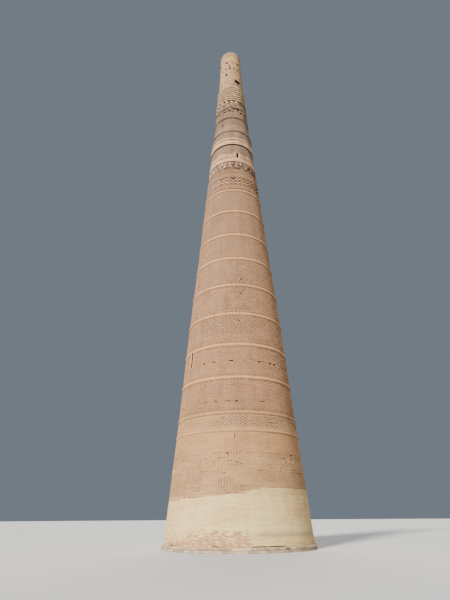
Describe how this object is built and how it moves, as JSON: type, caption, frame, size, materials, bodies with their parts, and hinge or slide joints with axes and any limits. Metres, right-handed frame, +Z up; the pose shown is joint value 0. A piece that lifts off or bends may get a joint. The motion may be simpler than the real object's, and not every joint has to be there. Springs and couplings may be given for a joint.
{
  "type": "brick minaret, 1:2 scale model",
  "caption": "Tall tapering round brick minaret, hollow, with pale string rings, patterned friezes, a cornice, slit windows and a weathered cap, as a 1:2 scale model.",
  "frame": {"origin": "centre of the round footing's underside, on the floor the tower stands on", "axes": "+Z up along the tower's axis; -Y is the front that the picture shows, with +X to its right"},
  "size_m": [6.1, 6.1, 30.175],
  "materials": {
    "footing_stone": "rough grey-buff stone and mortar",
    "repaired_brick": "pale new fired brick, matte",
    "wall_brick": "weathered buff-brown fired brick, matte",
    "smooth_brick": "smooth pale fired brick, matte",
    "ring_brick": "pale fired brick of the rings and cornice, matte",
    "frieze_brick": "patterned fired brick, matte",
    "drum_brick": "weathered brown-grey fired brick, matte",
    "worn_brick": "eroded fired brick with dark recesses"
  },
  "bodies": {
    "root": {"footing_ring": "footing_stone", "repaired_base": "repaired_brick", "lower_wall": "wall_brick", "worn_frieze": "frieze_brick", "smooth_wall": "smooth_brick", "ring_1": "ring_brick", "lower_frieze": "frieze_brick", "ring_2": "ring_brick", "stage_1": "wall_brick", "ring_3": "ring_brick", "stage_2": "wall_brick", "ring_4": "ring_brick", "stage_3": "wall_brick", "ring_5": "ring_brick", "stage_4": "wall_brick", "ring_6": "ring_brick", "stage_5": "wall_brick", "ring_7": "ring_brick", "stage_6": "wall_brick", "ring_8": "ring_brick", "stage_7": "wall_brick", "ring_9": "ring_brick", "stage_8": "wall_brick", "ring_10": "ring_brick", "neck_wall": "drum_brick", "upper_frieze": "frieze_brick", "collar_wall": "drum_brick", "corbel_band": "worn_brick", "pale_band": "smooth_brick", "slit_drum": "drum_brick", "cornice_band": "ring_brick", "cornice_fillet": "ring_brick", "lozenge_drum": "drum_brick", "ledge_course": "ring_brick", "plain_drum": "drum_brick", "string_course": "ring_brick", "worn_band": "worn_brick", "dentil_band": "worn_brick", "ribbed_drum": "drum_brick", "top_shaft_lower": "drum_brick", "top_shaft_upper": "smooth_brick", "top_cap": "smooth_brick"}
  },
  "joints": []
}
